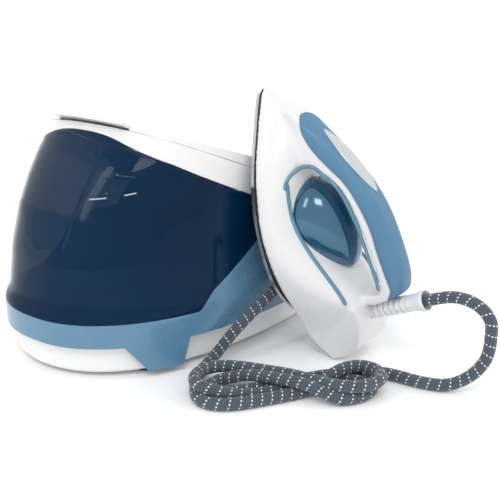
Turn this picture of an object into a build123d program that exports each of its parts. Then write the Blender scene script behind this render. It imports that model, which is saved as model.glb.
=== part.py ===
"""Steam generator iron: a base station with a removable water tank, and a hand iron on a steam hose.

Lengths are millimetres. The station is modelled about its own middle, with X along it (the tank end is -X,
the control end +X), Y across it and Z up from the floor. The iron is modelled sole down in its own frame:
X towards its tip, which is at the origin, Y to its left and Z up from the sole. STATION and IRON put both
in the object's frame: the iron stands on its heel beside the station and leans its sole on the station's edge.
"""

import os
from math import copysign, cos, pi, radians, sin, tan

from build123d import *

os.makedirs("parts", exist_ok=True)

# ---------------------------------------------------------------- driving dimensions
STATION_Y = 74.4  # the origin is under the middle of station and iron together
HALF_LENGTH = 218.0  # of the station
HALF_WIDTH = 132.0
OUTLINE_POWER = 2.32  # superellipse power of the plan outline
WALL = 2.6
GAP = 0.8  # parting gap between outer covers
PAN_INSET = 8.6
PAN_FLOOR = 8.0  # top of the pan's floor
FOOT_HEIGHT = 5.0
PAN_TOP = 34.0
BAND_TOP = 58.0  # top of the coloured band under the tank
# height and half-length towards the tank end: a straight band, a flared bead, then a wall that leans in
REAR = [(6, 218), (58, 218), (70, 210.5), (112, 204), (150, 192), (178, 177), (200, 162), (226, 139), (252, 116)]

TIP = Vector(-2.7, -113.1, 264.9)  # the iron's tip, about the station's middle
IRON_LEAN, IRON_YAW, IRON_ROLL = 14.0, 2.0, 4.0  # degrees; the tip leans towards the station
SOLE_HALF = 59.8
HANDLE_HALF = 17.5
HOSE_R = 5.8

# ---------------------------------------------------------------- places
lean, yaw, roll = radians(IRON_LEAN), radians(IRON_YAW), radians(IRON_ROLL)
across = Vector(-cos(yaw), -sin(yaw), 0)
inward = Vector(-sin(yaw), cos(yaw), 0)
upward = inward * sin(lean) + Vector(0, 0, 1) * cos(lean)
iron_z = Vector(0, 0, 1) * sin(lean) - inward * cos(lean)
iron_x = upward * cos(roll) + across * sin(roll)
STATION = Location((0, STATION_Y, 0))
IRON = STATION * Plane(origin=TIP, x_dir=iron_x, z_dir=iron_z).location


def save(name, piece, place=STATION):
    """Labels a finished piece, puts it in the object's frame and writes it."""
    solid = piece.part.moved(place)
    solid.label = name
    export_step(solid, f"parts/{name}.step")


# ---------------------------------------------------------------- shapes that the pieces share
def outline(z, rear, inset=0.0):
    """Points of the station's plan outline at height z."""
    half_width = HALF_WIDTH - inset - 10 * max(0.0, (z - 60) / 165) ** 1.4
    front = HALF_LENGTH - inset - 0.1 * max(0.0, z - BAND_TOP)
    back = rear - inset
    points = []
    for i in range(20):
        a = 2 * pi * (i + 0.5) / 20
        c, s = cos(a), sin(a)
        x = copysign(abs(c) ** (2 / OUTLINE_POWER), c) * (front if c > 0 else back)
        y = copysign(abs(s) ** (2 / OUTLINE_POWER), s) * half_width
        points.append((x, y))
    return points


def plan(z, rear, inset=0.0):
    """A plan section of the station at height z."""
    with BuildSketch(Plane.XY.offset(z)) as section:
        with BuildLine():
            Spline(*outline(z, rear, inset), periodic=True)
        make_face()
    return section.sketch


def block(inset=0.0):
    """The station's outer form as a solid, or one inside it by inset."""
    with BuildPart() as form:
        loft([plan(z, rear, inset) for z, rear in REAR], ruled=True)
    return form.part


def side(*points):
    """A side view shape in the XZ plane."""
    with BuildSketch(Plane.XZ) as shape:
        with BuildLine():
            Polyline(*points, close=True)
        make_face()
    return shape.sketch


def shifted(curve, dz):
    return [(x, z + dz) for x, z in curve]


def keep_side(points, half=200):
    """A slab to intersect a form with, so that only what lies inside a side view shape is kept."""
    with BuildPart() as slab:
        extrude(side(*points), amount=half, both=True)
    return slab.part


outer, inner = block(), block(WALL)
fitted = block(WALL + 0.3)
with BuildPart() as hull:
    add(outer)
    add(inner, mode=Mode.SUBTRACT)

# Side curves of the parting lines, from the tank end to the control end.
TANK_TOP = [(-160, 236), (-135, 218.5), (-112, 202.5), (-90, 190), (-62, 176), (-31, 162), (12, 143)]
SEAM = [(-150, 245), (-127, 233), (-116, 228), (-86, 214), (-28, 190), (90, 149), (240, 97)]
DECK_TOP = [(-160, 254), (-127, 239), (-116, 232.5), (-86, 221), (-28, 201.5), (240, 106)]
DECK_SLOPE = (201.5 - 106) / (28 + 240)
DECK_DIR = Vector(1, 0, -DECK_SLOPE).normalized()
DECK_UP = Vector(DECK_SLOPE, 0, 1).normalized()


def deck_plane(x, lift=0.0):
    """A plane on the deck's flat stretch at station x, its X down the slope and its Z out of the deck."""
    point = Vector(x, 0, 201.5 - DECK_SLOPE * (x + 28)) + DECK_UP * lift
    return Plane(origin=point, x_dir=DECK_DIR, z_dir=DECK_UP)


# ---------------------------------------------------------------- bottom pan, feet and base shell
POSTS = [(x, y) for x in (-150, 150) for y in (-70, 70)]
SEAT_LOW, SEAT_HIGH = BAND_TOP - 3.6, BAND_TOP - 0.6
CORD_INLET = Vector(60, 120.4, 20)
with BuildPart() as bottom_pan:
    extrude(Plane.XY.offset(FOOT_HEIGHT) * plan(0, 218, PAN_INSET), amount=PAN_TOP - FOOT_HEIGHT)
    chamfer(bottom_pan.faces().sort_by(Axis.Z)[0].edges(), 3)
    extrude(Plane.XY.offset(PAN_FLOOR) * plan(0, 218, PAN_INSET + 3), amount=PAN_TOP, mode=Mode.SUBTRACT)
    with BuildSketch(Plane.XY.offset(PAN_FLOOR)):
        with Locations(*POSTS):
            Circle(5.5)
    extrude(amount=SEAT_LOW - PAN_FLOOR)
    with Locations(*[Location((x, y, FOOT_HEIGHT), (180, 0, 0)) for x, y in POSTS]):
        CounterBoreHole(radius=1.75, counter_bore_radius=3.7, counter_bore_depth=3, depth=22)
    with Locations(Location((CORD_INLET.X, CORD_INLET.Y, CORD_INLET.Z), (90, 0, 0))):
        Cylinder(7.05, 40, mode=Mode.SUBTRACT)
save("bottom_pan", bottom_pan)

with BuildPart() as pan_screws:
    for x, y in POSTS:
        with Locations((x, y, FOOT_HEIGHT + 0.6)):
            Cylinder(3.5, 2.4, align=(Align.CENTER, Align.CENTER, Align.MIN))
            Cylinder(1.7, 18, align=(Align.CENTER, Align.CENTER, Align.MIN))
save("pan_screws", pan_screws)

with BuildPart() as rubber_feet:
    with BuildSketch():
        with Locations(*[(x, y) for x in (-140, 140) for y in (-78, 78)]):
            Circle(11)
    extrude(amount=FOOT_HEIGHT)
save("rubber_feet", rubber_feet)

HOSE_EXIT = Vector(60, -141, 88)  # where the hose leaves its outlet
PANEL_Z = (60.5, 83.0)
PANEL_HALF = 46.0
TAB = [(-175.4, PAN_TOP), (-156, 6), (-123, 6), (-115.6, PAN_TOP)]
with BuildPart() as base_shell:
    add(hull.part)
    low_edge = [(-230, PAN_TOP)] + TAB + [(-x, z) for x, z in reversed(TAB)] + [(240, PAN_TOP)]
    add(keep_side(low_edge + [(240, 81), (12 + GAP, 138), (-85, 77), (-103, BAND_TOP), (-230, BAND_TOP)]),
        mode=Mode.INTERSECT)
    with Locations(Location((112, -120, HOSE_EXIT.Z), (90, 0, 0))):
        Cylinder(11.1, 60, mode=Mode.SUBTRACT)
    with Locations((215, 0, sum(PANEL_Z) / 2)):
        Box(30, 2 * PANEL_HALF, PANEL_Z[1] - PANEL_Z[0], mode=Mode.SUBTRACT)
save("base_shell", base_shell)

# ---------------------------------------------------------------- water tank and its seat
TANK_EDGE = [(12, 139), (-86, 77), (-104, BAND_TOP + 0.4), (-230, BAND_TOP + 0.4)]
VALVE_Z = 100.0
VALVE_X = -50.0  # where the tank's sloping front wall is at the valve's height
CAP_DROP, CAP_THICK = 0.4, 3.0
with BuildPart() as tank_shell:
    add(outer)
    add(keep_side(TANK_TOP + TANK_EDGE), mode=Mode.INTERSECT)
    with BuildPart(mode=Mode.PRIVATE) as tank_room:
        add(inner)
        room = shifted(TANK_TOP, 30) + [(7, 139), (-87.5, 80), (-105.5, BAND_TOP + 3), (-230, BAND_TOP + 3)]
        add(keep_side(room), mode=Mode.INTERSECT)
    add(tank_room.part, mode=Mode.SUBTRACT)
    with Locations(Location((VALVE_X, 0, VALVE_Z), (0, 90, 0))):
        Cylinder(8.05, 44, mode=Mode.SUBTRACT)
save("tank_shell", tank_shell)

FILLER = (-104, 0)
with BuildPart() as tank_cap:
    add(fitted)
    under, over = shifted(TANK_TOP, -CAP_DROP - CAP_THICK), shifted(TANK_TOP, -CAP_DROP)
    add(keep_side(under[:-1] + [(-2, 145.8), (-2, 148.8)] + over[-2::-1]), mode=Mode.INTERSECT)
    with Locations((*FILLER, 200)):
        Cylinder(17, 80, mode=Mode.SUBTRACT)
save("tank_cap", tank_cap)


def disc(x, radius, length, bore=0.0):
    """A round along X at the valve's height, from station x."""
    with BuildPart() as round_bar:
        with BuildSketch(Plane.YZ.offset(x)):
            with Locations((0, VALVE_Z)):
                Circle(radius)
                if bore:
                    Circle(bore, mode=Mode.SUBTRACT)
        extrude(amount=length)
    return round_bar.part


with BuildPart() as tank_valve:
    add(disc(-64, 8, 34, bore=4.5))
save("tank_valve", tank_valve)

with BuildPart() as valve_poppet:
    add(disc(-66, 1.6, 35))
    add(disc(-68.5, 6.5, 4.2))
save("valve_poppet", valve_poppet)

coil = Helix(pitch=3.2, height=14, radius=3.1)
wire = sweep(Plane(origin=coil @ 0, z_dir=coil % 0) * Circle(0.5), path=coil)
with BuildPart() as valve_spring:
    add(Location((-58, 0, VALVE_Z), (0, 90, 0)) * wire)
save("valve_spring", valve_spring)

SEAT_TOP = [(-215, SEAT_HIGH), (-102, SEAT_HIGH), (-84.2, 76), (14, 137.6)]
with BuildPart() as tank_seat:
    add(fitted)
    add(keep_side(SEAT_TOP + [(16, 135), (-82.4, 73), (-100.6, SEAT_LOW), (-215, SEAT_LOW)]), mode=Mode.INTERSECT)
    add(disc(-90, 13.05, 80), mode=Mode.SUBTRACT)
save("tank_seat", tank_seat)

with BuildPart() as water_coupler:
    add(disc(-75, 13, 50, bore=8.3))
    add(disc(-27, 8.4, 4, bore=2.2))
    add(keep_side([(-84.2, 76), (14, 137.6), (14, 60), (-84.2, 60)]), mode=Mode.INTERSECT)
    add(disc(-23, 5, 10, bore=2.2))
save("water_coupler", water_coupler)

# ---------------------------------------------------------------- deck, filler lid and iron rest
LID_EDGE, LID_HALF = -72.0, 52.0  # of the opening
LID_AXIS = (-74.6, 215.3)
with BuildPart() as deck_frame:
    add(hull.part)
    low = shifted(TANK_TOP, GAP)[:-1] + [(12 + GAP, 143.5), (12 + GAP, 138 + GAP), (240, 81 + GAP)]
    add(keep_side(low + SEAM[::-1]), mode=Mode.INTERSECT)
save("deck_frame", deck_frame)


def across_bar(x, z, radius, length):
    """A round bar along Y."""
    with BuildPart() as bar:
        with BuildSketch(Plane.XZ):
            with Locations((x, z)):
                Circle(radius)
        extrude(amount=length / 2, both=True)
    return bar.part


SOLE = [(0, 0), (-3, 5), (-12, 12), (-35, 24.5), (-78, 46), (-123, 58.5), (-155, SOLE_HALF), (-192, 53),
        (-218, 37), (-232, 19), (-236, 0)]


def both_sides(half):
    """A closed outline from its half, which starts and ends on the middle line."""
    return half + [(u, -v) for u, v in half[-2:0:-1]]


def leaf(half, plane=Plane.XY):
    """A sketch of a smooth closed outline that has a point at its first point."""
    with BuildSketch(plane) as shape:
        with BuildLine():
            upper = Spline(*half)
            Spline(*[(u, -v) for u, v in half])
        make_face()
    return shape.sketch


with BuildPart() as iron_platform:
    add(outer)
    add(keep_side(SEAM + DECK_TOP[::-1]), mode=Mode.INTERSECT)
    with BuildPart(mode=Mode.PRIVATE) as under_deck:
        add(inner)
        add(keep_side(shifted(SEAM, -20) + shifted(DECK_TOP, -3)[::-1]), mode=Mode.INTERSECT)
    add(under_deck.part, mode=Mode.SUBTRACT)
    with Locations((LID_EDGE - 60, 0, 225)):
        Box(120, 2 * LID_HALF, 100, mode=Mode.SUBTRACT)
    add(across_bar(*LID_AXIS, 1.0, 112), mode=Mode.SUBTRACT)
    with BuildSketch(deck_plane(193)):
        RectangleRounded(10, 80, 4.9)
    extrude(amount=13)
save("iron_platform", iron_platform)

with BuildPart() as filler_lid:
    add(block(-13))
    top = [(-160, 254), (-127, 239), (-116, 232.5), (-86, 221), (-73.1, 216.66)]
    add(keep_side(top + shifted(top, -3.6)[::-1], half=LID_HALF - 0.6), mode=Mode.INTERSECT)
    add(across_bar(*LID_AXIS, 1.05, 112), mode=Mode.SUBTRACT)
save("filler_lid", filler_lid)

with BuildPart() as lid_pin:
    add(across_bar(*LID_AXIS, 1.0, 112))
save("lid_pin", lid_pin)

MAT = [(-0.94 * u - 130, 0.9 * v) for u, v in SOLE]
with BuildPart() as rest_mat:
    extrude(leaf(MAT, deck_plane(96)), amount=3)
save("rest_mat", rest_mat)

# ---------------------------------------------------------------- inside the station
BOILER = (95, 0)


def pipe(radius, corner, *points, bore=0.0):
    """A tube along straight runs with rounded corners."""
    with BuildPart() as tube:
        with BuildLine() as route:
            FilletPolyline(*points, radius=corner)
        with BuildSketch(Plane(origin=route.line @ 0, z_dir=route.line % 0)):
            Circle(radius)
            if bore:
                Circle(bore, mode=Mode.SUBTRACT)
        sweep(path=route.line)
    return tube.part


with BuildPart() as boiler:
    with Locations((*BOILER, 14)):
        Cylinder(48, 58, align=(Align.CENTER, Align.CENTER, Align.MIN))
    fillet(boiler.edges().filter_by(GeomType.CIRCLE), 9)
    with Locations((*BOILER, 30)):
        Cylinder(55, 3, align=(Align.CENTER, Align.CENTER, Align.MIN))
    with Locations(*[(BOILER[0] + 40 * cos(a), 40 * sin(a), PAN_FLOOR) for a in (pi / 3, pi, -pi / 3)]):
        Cylinder(4, 9, align=(Align.CENTER, Align.CENTER, Align.MIN))
    with Locations((BOILER[0] - 20, -20, 66)):
        Cylinder(4.5, 14, align=(Align.CENTER, Align.CENTER, Align.MIN))
save("boiler", boiler)

with BuildPart() as boiler_heater:
    with BuildSketch(Plane.XZ.shift_origin((BOILER[0], 0, 0))):
        with Locations((51.4, 30 - 3.3)):
            Circle(3.2)
    revolve(axis=Axis((*BOILER, 0), (0, 0, 1)), revolution_arc=340)
save("boiler_heater", boiler_heater)

with BuildPart() as water_pump:
    with Locations(Location((-33, -50, 26), (0, 90, 0))):
        Cylinder(16, 58)
        Cylinder(4, 76)
    with Locations((-33, -50, 13)):
        Box(34, 26, 10)
    with Locations((-50, -50, 40)):
        Cylinder(4, 8, align=(Align.CENTER, Align.CENTER, Align.MIN))
save("water_pump", water_pump)

with BuildPart() as suction_tube:
    add(pipe(4, 12, (-13, 0, 100), (14, 0, 100), (30, -50, 62), (30, -50, 26), (5, -50, 26), bore=2.4))
save("suction_tube", suction_tube)

with BuildPart() as feed_tube:
    add(pipe(4, 12, (-50, -50, 48), (-50, -50, 68), (0, -66, 70), (48, -60, 96), (75, -20, 106), (75, -20, 80),
             bore=2.4))
save("feed_tube", feed_tube)

with BuildPart() as steam_valve:
    with Locations((BOILER[0] + 15, 0, 72)):
        Cylinder(10, 14, align=(Align.CENTER, Align.CENTER, Align.MIN))
        with Locations((0, 0, 14)):
            Cylinder(15, 24, align=(Align.CENTER, Align.CENTER, Align.MIN))
    with Locations(Location((BOILER[0] + 15, -11, 79), (90, 0, 0))):
        Cylinder(4, 14)
save("steam_valve", steam_valve)

with BuildPart() as steam_tube:
    add(pipe(4, 14, (110, -18, 79), (110, -52, 79), (112, -74, 88), (112, -96, 88), bore=2.4))
save("steam_tube", steam_tube)

BOARD_X = 194
BUTTONS = {"eco_button": -28, "power_button": 0, "steam_button": 28}
BUTTON_Z, BUTTON_R = 70.0, 7.0
with BuildPart() as control_board:
    with Locations((BOARD_X, 0, PAN_FLOOR)):
        Box(1.6, 76, 80, align=(Align.MIN, Align.CENTER, Align.MIN))
    with Locations((BOARD_X, -22, 20), (BOARD_X, 20, 24)):
        Box(12, 18, 22, align=(Align.MAX, Align.CENTER, Align.MIN))
save("control_board", control_board)

with BuildPart() as tact_switches:
    for y in BUTTONS.values():
        with Locations((BOARD_X + 1.6, y, BUTTON_Z)):
            Box(4.4, 8, 8, align=(Align.MIN, Align.CENTER, Align.CENTER))
        with Locations(Location((BOARD_X + 7, y, BUTTON_Z), (0, 90, 0))):
            Cylinder(1.8, 4)
save("tact_switches", tact_switches)


def panel_box(grow):
    with BuildPart() as window:
        with Locations((215, 0, sum(PANEL_Z) / 2)):
            Box(40, 2 * (PANEL_HALF + grow), PANEL_Z[1] - PANEL_Z[0] + 2 * grow)
    return window.part


with BuildPart() as control_panel:
    add(block(-0.3))
    add(block(3.4), mode=Mode.SUBTRACT)
    add(panel_box(-0.4), mode=Mode.INTERSECT)
    with Locations(*[Location((212, y, BUTTON_Z), (0, 90, 0)) for y in BUTTONS.values()]):
        Cylinder(BUTTON_R + 0.4, 60, mode=Mode.SUBTRACT)
    with Locations(*[Location((212, y, BUTTON_Z + 10), (0, 90, 0)) for y in BUTTONS.values()]):
        Cylinder(1.6, 60, mode=Mode.SUBTRACT)
save("control_panel", control_panel)

with BuildPart() as indicator_lenses:
    add(block(-0.5))
    add(block(3.4), mode=Mode.SUBTRACT)
    with BuildPart(mode=Mode.PRIVATE) as rods:
        with Locations(*[Location((212, y, BUTTON_Z + 10), (0, 90, 0)) for y in BUTTONS.values()]):
            Cylinder(1.6, 60)
    add(rods.part, mode=Mode.INTERSECT)
save("indicator_lenses", indicator_lenses)

for name, y in BUTTONS.items():
    face = 218.4 - (0 if y == 0 else 2.6)
    with BuildPart() as button:
        with Locations(Location((BOARD_X + 11.4, y, BUTTON_Z), (0, 90, 0))):
            Cylinder(BUTTON_R, face - BOARD_X - 11.4, align=(Align.CENTER, Align.CENTER, Align.MIN))
        fillet(button.edges().sort_by(Axis.X)[-1], 1.2)
        with Locations(Location((BOARD_X + 11.4, y, BUTTON_Z), (0, 90, 0))):
            Cylinder(BUTTON_R + 1.4, 1.6, align=(Align.CENTER, Align.CENTER, Align.MIN))
    save(name, button)

with BuildPart() as mains_cord_gland:
    with Locations(Location((CORD_INLET.X, 111, CORD_INLET.Z), (-90, 0, 0))):
        Cylinder(7, 16, align=(Align.CENTER, Align.CENTER, Align.MIN))
        Cylinder(10, 3, align=(Align.CENTER, Align.CENTER, Align.MIN))
    with Locations(Location((CORD_INLET.X, 121.6, CORD_INLET.Z), (-90, 0, 0))):
        Cylinder(9.5, 2.6, align=(Align.CENTER, Align.CENTER, Align.MIN))
    with Locations(Location((CORD_INLET.X, 120, CORD_INLET.Z), (90, 0, 0))):
        Cylinder(3.4, 40, mode=Mode.SUBTRACT)
save("mains_cord_gland", mains_cord_gland)

with BuildPart() as hose_outlet:
    add(pipe(11, 16, (112, -96, 88), (112, HOSE_EXIT.Y, 88), (90, HOSE_EXIT.Y, 88)))
    with BuildSketch(Plane.YZ.offset(90)) as wide:
        with Locations((HOSE_EXIT.Y, 88)):
            Circle(11)
    with BuildSketch(Plane.YZ.offset(HOSE_EXIT.X)) as narrow:
        with Locations((HOSE_EXIT.Y, 88)):
            Circle(7.6)
    loft()
    for x in (86, 80, 74, 68):
        with BuildSketch(Plane.YZ.offset(x)):
            with Locations((HOSE_EXIT.Y, 88)):
                Circle(11.2 - (90 - x) * 0.09)
        extrude(amount=-2.6)
save("hose_outlet", hose_outlet)

# ---------------------------------------------------------------- the iron, in its own frame
SKIRT = [(0.5, 0), (-3, 6), (-12, 13), (-35, 25.5), (-78, 47), (-123, 59.5), (-155, SOLE_HALF + 1), (-192, 55),
         (-219, 45), (-236, 36)]
SKIRT_TOP = [(2, 8), (-16, 22), (-34, 36), (-131, 36), (-149, 39), (-169, 45), (-192, 55), (-212, 68), (-221, 78),
             (-236, 78)]
HANDLE_TOP = [(-16, 27), (-32, 46), (-59, 72), (-78, 87), (-98, 99), (-119, 109), (-140, 116), (-161, 120),
              (-184, 123), (-201, 123), (-212, 120), (-220, 115), (-223, 105)]
COVER_EDGE = [(-37, 49), (-52, 51), (-69, 59), (-86, 72), (-99, 83), (-113, 91), (-132, 98), (-151, 103),
              (-172, 105), (-194, 108), (-214, 111)]
GRIP = [(-83, 37), (-83, 45), (-87, 58), (-95, 70), (-105, 81), (-118, 88), (-135, 93), (-152, 97), (-172, 100),
        (-187, 102), (-203, 104), (-214, 104.4), (-217, 98), (-216, 78.2)]  # round the finger gap
RELIEF_LOW, RELIEF_TOP = Vector(-239, 0, 62), Vector(-228, 0, 138)
RELIEF_AXIS = (RELIEF_TOP - RELIEF_LOW).normalized()
SOLE_TOP, SHIELD_TOP = 4.5, 7.5


def bulk(shrink, low=SHIELD_TOP):
    """The skirt's outer form, or one inside it by shrink."""
    with BuildPart() as form:
        for w, along, over in ((low, 1.0, 1.0), (22, 0.985, 0.96), (44, 0.94, 0.83), (84, 0.90, 0.70)):
            half = [(min(-130 + (u + 130) * (along if u > -130 else 1) - shrink * (1 if u > -130 else -1), 9),
                     max(v * over - shrink * (v > 0), 0)) for u, v in SKIRT]
            with BuildSketch(Plane.XY.offset(w)):
                with BuildLine():
                    upper = Spline(*half)
                    lower = Spline(*[(u, -v) for u, v in half])
                    Line(upper @ 1, lower @ 1)
                make_face()
        loft(ruled=True)
    return form.part


def relief_hole():
    with BuildPart() as hole:
        with BuildSketch(Plane(origin=RELIEF_LOW - RELIEF_AXIS * 6, z_dir=RELIEF_AXIS)):
            Circle(10.5)
        extrude(amount=30)
    return hole.part


with BuildPart() as soleplate:
    extrude(leaf(SOLE), amount=SOLE_TOP)
    chamfer(soleplate.faces().sort_by(Axis.Z)[0].edges(), 0.8)
    with BuildSketch():
        for u in range(-70, -24, 9):
            with Locations((u, 0.42 * (-u - 20) + 1), (u, -0.42 * (-u - 20) - 1)):
                Circle(1.4)
        with Locations(*[(u, v) for u in (-95, -110, -125, -140) for v in (-34, -17, 0, 17, 34)]):
            Circle(1.4)
    extrude(amount=SOLE_TOP, mode=Mode.SUBTRACT)
save("soleplate", soleplate, IRON)

with BuildPart() as heat_shield:
    rim = [(min(u, -1.5), v * 0.975) for u, v in SOLE[:-1]] + [(-234, 0)]
    rim[0] = (-1.5, 0)
    extrude(Plane.XY.offset(SOLE_TOP) * leaf([rim[0]] + rim[2:]), amount=SHIELD_TOP - SOLE_TOP)
save("heat_shield", heat_shield, IRON)

BLOCK_TOP = 19.0
SCREWS = [(-60, 0), (-125, 38), (-125, -38), (-205, 18), (-205, -18)]
with BuildPart() as heater_block:
    inner_outline = [(-34, 0)] + [(-38 + 0.83 * (u + 30), v * 0.78) for u, v in SOLE[3:-1]] + [(-209, 0)]
    extrude(Plane.XY.offset(SHIELD_TOP) * leaf(inner_outline), amount=BLOCK_TOP - SHIELD_TOP)
    with Locations(*[(u, v, BLOCK_TOP) for u, v in SCREWS[:3]]):
        Cylinder(1.6, 20, mode=Mode.SUBTRACT)
save("heater_block", heater_block, IRON)

with BuildPart() as heater_element:
    add(pipe(3.2, 12, (-186, -30, 22.2), (-118, -32, 22.2), (-72, -14, 22.2), (-72, 14, 22.2), (-118, 32, 22.2),
             (-186, 30, 22.2)))
save("heater_element", heater_element, IRON)

with BuildPart() as thermostat:
    with Locations((-150, 0, BLOCK_TOP)):
        Cylinder(9, 5, align=(Align.CENTER, Align.CENTER, Align.MIN))
        Box(22, 9, 3.4, align=(Align.CENTER, Align.CENTER, Align.MIN))
save("thermostat", thermostat, IRON)

with BuildPart() as iron_screws:
    for u, v in SCREWS[:3]:
        with Locations((u, v, BLOCK_TOP)):
            Cylinder(3, 2, align=(Align.CENTER, Align.CENTER, Align.MIN))
        with Locations((u, v, BLOCK_TOP - 9)):
            Cylinder(1.5, 9, align=(Align.CENTER, Align.CENTER, Align.MIN))
save("iron_screws", iron_screws, IRON)

DOME_HALF = 30.0
DOME_TOP = [(-84, 37), (-96, 40), (-120, 44), (-145, 51), (-165, 60), (-183, 73), (-190, 78)]
with BuildPart() as dome_room:
    extrude(side(*DOME_TOP, (-190, 140), (-84, 140)), amount=DOME_HALF + 0.4, both=True)
    extrude(side((-90, 34), (-112, 37), (-140, 44), (-160, 53), (-181, 68), (-189, 80), (-90, 80)),
            amount=DOME_HALF + 0.4, both=True)
with BuildPart() as iron_skirt:
    add(bulk(0))
    add(keep_side(SKIRT_TOP + [(-236, 7.5), (2, 7.5)]), mode=Mode.INTERSECT)
    with BuildPart(mode=Mode.PRIVATE) as skirt_room:
        add(bulk(2.2, low=SHIELD_TOP - 1))
        add(keep_side([(u - 1.5, w - 2.2) for u, w in SKIRT_TOP[:-1]] + [(-240, 75.8), (-240, 0), (-1, 0)]),
            mode=Mode.INTERSECT)
    add(skirt_room.part, mode=Mode.SUBTRACT)
    add(keep_side([(-91, 120), (-91, 33.6), (-112, 33.6), (-140, 33.6), (-160, 36), (-189, 52), (-189, 120)],
                  half=DOME_HALF + 0.4), mode=Mode.SUBTRACT)
    add(relief_hole(), mode=Mode.SUBTRACT)
save("iron_skirt", iron_skirt, IRON)

with BuildPart() as body_dome:
    bottom = shifted(DOME_TOP[1:-1], -3)
    extrude(side(*DOME_TOP[1:-1], (-188.6, 76.6), (-188.6, 53), (-184, 53), (-184, 68), *bottom[::-1][1:], (-96, 34),
                 (-92, 34), (-92, 38.9)), amount=DOME_HALF, both=True)
save("body_dome", body_dome, IRON)

CORE_FRONT = [(-8.5, 17.5), (-16, 26), (-32, 44.6)]
with BuildPart() as handle_core:
    extrude(side(*CORE_FRONT, *COVER_EDGE, (-221.6, 112), (-222.4, 105), (-226, 79), (-226, 78.2), *GRIP[::-1],
                 (-83, 36.2), (-34.4, 36.7), (-17.6, 24.3)), amount=HANDLE_HALF - 0.5, both=True)
    with BuildPart(mode=Mode.PRIVATE) as nose:
        with BuildSketch():
            with BuildLine():
                Polyline((-2, 0), (-9, 7.5), (-40, 20), (-240, 20), (-240, -20), (-40, -20), (-9, -7.5), close=True)
            make_face()
        extrude(amount=160)
    add(nose.part, mode=Mode.INTERSECT)
    extrude(side((-103, 60), (-103, 120), (-153, 120), (-153, 80)), amount=7.6, both=True, mode=Mode.SUBTRACT)
    add(across_bar(-147, 97, 1.5, 24), mode=Mode.SUBTRACT)
    add(relief_hole(), mode=Mode.SUBTRACT)
save("handle_core", handle_core, IRON)

LENS = Plane(origin=(-84.5, 0, 89.5), x_dir=(-0.834, 0, 0.552), z_dir=(0.552, 0, 0.834))
LENS_HALF = (36.0, 8.2)
lens_top = [(-36, 51), (-59, 72.8), (-78, 87.8), (-98, 99.8), (-119, 109.8), (-140, 117)]
cover_side = [(-33, 46.2)] + HANDLE_TOP[2:-1] + [(-222.6, 112.4), (-214, 111.3)] + shifted(COVER_EDGE, 0.25)[-2::-1]
with BuildPart() as handle_cover:
    extrude(side(*cover_side), amount=HANDLE_HALF, both=True)
    hollow = [(-56, 66)] + [(u - 0.6, w - 2.4) for u, w in HANDLE_TOP[3:-3]] + [(-211, 116.6), (-213, 109)]
    hollow += shifted(COVER_EDGE, -2)[-2:1:-1]
    extrude(side(*hollow), amount=HANDLE_HALF - 2.2, both=True, mode=Mode.SUBTRACT)
    with BuildSketch(LENS.offset(-12)):
        Ellipse(LENS_HALF[0] + 0.4, LENS_HALF[1] + 0.4)
    extrude(amount=30, mode=Mode.SUBTRACT)
save("handle_cover", handle_cover, IRON)

with BuildPart() as thumb_button:
    with BuildSketch(LENS.offset(-12)):
        Ellipse(*LENS_HALF)
    extrude(amount=30)
    extrude(side(*lens_top, *shifted(lens_top, -3.4)[::-1]), amount=20, both=True, mode=Mode.INTERSECT)
    with BuildSketch(LENS.offset(-6)):
        Rectangle(8, 6)
    extrude(amount=5)
save("thumb_button", thumb_button, IRON)

with BuildPart() as steam_trigger:
    extrude(side((-106, 78), (-112, 78.6), (-126, 82.5), (-140, 87), (-150, 92.6), (-151.2, 97), (-147, 101),
                 (-128, 97.5), (-110, 91), (-105, 84)), amount=7, both=True)
    fillet(steam_trigger.edges().filter_by(Axis.Y), 0.8)
    add(across_bar(-147, 97, 1.55, 24), mode=Mode.SUBTRACT)
save("steam_trigger", steam_trigger, IRON)

with BuildPart() as trigger_pin:
    add(across_bar(-147, 97, 1.5, 24))
save("trigger_pin", trigger_pin, IRON)

with BuildPart() as micro_switches:
    with Locations((-86.5, 0, 75.3)):
        Box(6, 12, 3.3, align=(Align.CENTER, Align.CENTER, Align.MIN))
    with Locations((-138, 11.4, 101.7)):
        Box(12, 5, 5, align=(Align.CENTER, Align.CENTER, Align.MIN))
save("micro_switches", micro_switches, IRON)

with BuildPart() as heel_cover:
    heel = [(-236.5, 12), (-252, 9), (-281, 35), (-272, 66), (-256, 72), (-236.5, 78)]
    extrude(side(*heel), amount=31, both=True)
    chamfer(heel_cover.edges().filter_by(Axis.Y), 1.5)
    extrude(side((-230, 14.2), (-251, 11.4), (-278, 35), (-270, 63.6), (-255, 69.6), (-230, 75.6)), amount=28.6,
            both=True, mode=Mode.SUBTRACT)
    add(relief_hole(), mode=Mode.SUBTRACT)
save("heel_cover", heel_cover, IRON)


def at_relief(distance):
    return Plane(origin=RELIEF_LOW + RELIEF_AXIS * distance, z_dir=RELIEF_AXIS)


RELIEF_LONG = (RELIEF_TOP - RELIEF_LOW).length
with BuildPart() as hose_relief:
    with BuildSketch(at_relief(0)):
        Circle(10)
    extrude(amount=9)
    with BuildSketch(at_relief(9)):
        Circle(8.4)
    with BuildSketch(at_relief(RELIEF_LONG - 10)):
        Circle(7.6)
    loft()
    for k in range(8):
        with BuildSketch(at_relief(13 + k * 6.2)):
            Circle(8.6 - 0.06 * k)
        extrude(amount=3.4)
    with BuildSketch(at_relief(RELIEF_LONG - 10)):
        Circle(8.8)
    extrude(amount=10)
    with BuildSketch(at_relief(RELIEF_LONG)):
        Circle(6.0)
    extrude(amount=-8, mode=Mode.SUBTRACT)
save("hose_relief", hose_relief, IRON)

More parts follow.
